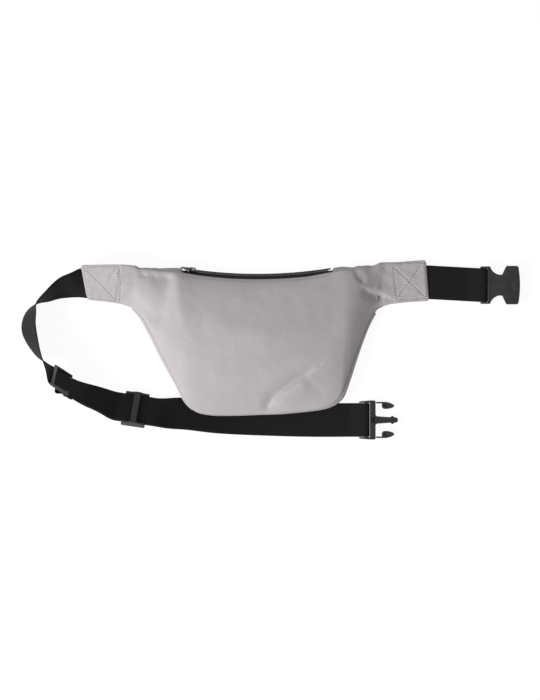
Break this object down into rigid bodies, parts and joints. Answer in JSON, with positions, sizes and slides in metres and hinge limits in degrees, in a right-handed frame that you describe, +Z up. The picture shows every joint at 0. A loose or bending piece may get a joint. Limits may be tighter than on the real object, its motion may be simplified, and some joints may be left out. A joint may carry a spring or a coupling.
{
  "type": "throw rope bag",
  "caption": "Flat waist-worn throw rope bag: crowned cloth pouch with a top zip, two wings, a webbing belt with adjusters and a side-release buckle.",
  "frame": {"origin": "middle of the flat front panel on the surface that the bag lies on", "axes": "+X along the belt towards the socket, +Y towards the zip, +Z up towards the wearer's side"},
  "size_m": [0.5616, 0.2019, 0.0476],
  "materials": {
    "grey_cloth": "smooth light grey coated cloth, plain weave",
    "black_webbing": "woven black belt webbing",
    "zip_tape": "black woven zip tape",
    "zip_teeth": "moulded black teeth",
    "zip_slider": "black enamelled slider",
    "adjuster_plastic": "moulded black plastic, fine texture",
    "buckle_plastic": "moulded black plastic, fine texture"
  },
  "bodies": {
    "bag": {"back_panel": "grey_cloth", "belt_webbing": "black_webbing", "bottom_gusset": "grey_cloth", "buckle_webbing": "black_webbing", "end_tri_glide": "adjuster_plastic", "front_panel": "grey_cloth", "top_gusset_left": "grey_cloth", "top_gusset_right": "grey_cloth", "wing_facing_left": "grey_cloth", "wing_facing_right": "grey_cloth", "zip_stop_left": "zip_teeth", "zip_stop_right": "zip_teeth", "zip_tape_lower": "zip_tape", "zip_tape_upper": "zip_tape", "zip_teeth_lower": "zip_teeth", "zip_teeth_upper": "zip_teeth"},
    "zip_slider_body": {"zip_slider": "zip_slider"},
    "zip_pull_body": {"zip_pull": "zip_slider"},
    "socket_body": {"buckle_socket": "buckle_plastic"},
    "plug_body": {"buckle_plug": "buckle_plastic"},
    "prong_upper_body": {"plug_prong_upper": "buckle_plastic"},
    "prong_lower_body": {"plug_prong_lower": "buckle_plastic"},
    "slide_glide_body": {"slide_tri_glide": "adjuster_plastic"}
  },
  "joints": [
    {"name": "zip_run", "type": "hinge", "parent": "bag", "child": "zip_slider_body", "pos_m": [0.004, 0.5941, 0.01], "axis": [0, 0, 1], "range_deg": [0, 16.1], "deforming": ["zip_teeth_upper", "zip_teeth_lower"]},
    {"name": "pull_lift", "type": "hinge", "parent": "zip_slider_body", "child": "zip_pull_body", "pos_m": [-0.07018, 0.08556, 0.01017], "axis": [0.0483, 0.3386, -0.9397], "range_deg": [0, 150]},
    {"name": "socket_swing", "type": "hinge", "parent": "bag", "child": "socket_body", "pos_m": [0.2591, 0.0674, 0.0055], "axis": [0, -1, 0], "range_deg": [-75, 75]},
    {"name": "plug_swing", "type": "hinge", "parent": "bag", "child": "plug_body", "pos_m": [0.1264, -0.0844, 0.0039], "axis": [0, -1, 0], "range_deg": [-75, 75]},
    {"name": "prong_upper_flex", "type": "hinge", "parent": "plug_body", "child": "prong_upper_body", "pos_m": [0.13807, -0.06495, 0.0039], "axis": [0, 0, -1], "range_deg": [0, 8], "stiffness_Nm_per_rad": 1},
    {"name": "prong_lower_flex", "type": "hinge", "parent": "plug_body", "child": "prong_lower_body", "pos_m": [0.13807, -0.10385, 0.0039], "axis": [0, 0, 1], "range_deg": [0, 8], "stiffness_Nm_per_rad": 1},
    {"name": "glide_slide", "type": "slide", "parent": "bag", "child": "slide_glide_body", "axis": [0.9886, -0.1505, 0], "range_m": [-0.007, 0.007]}
  ]
}
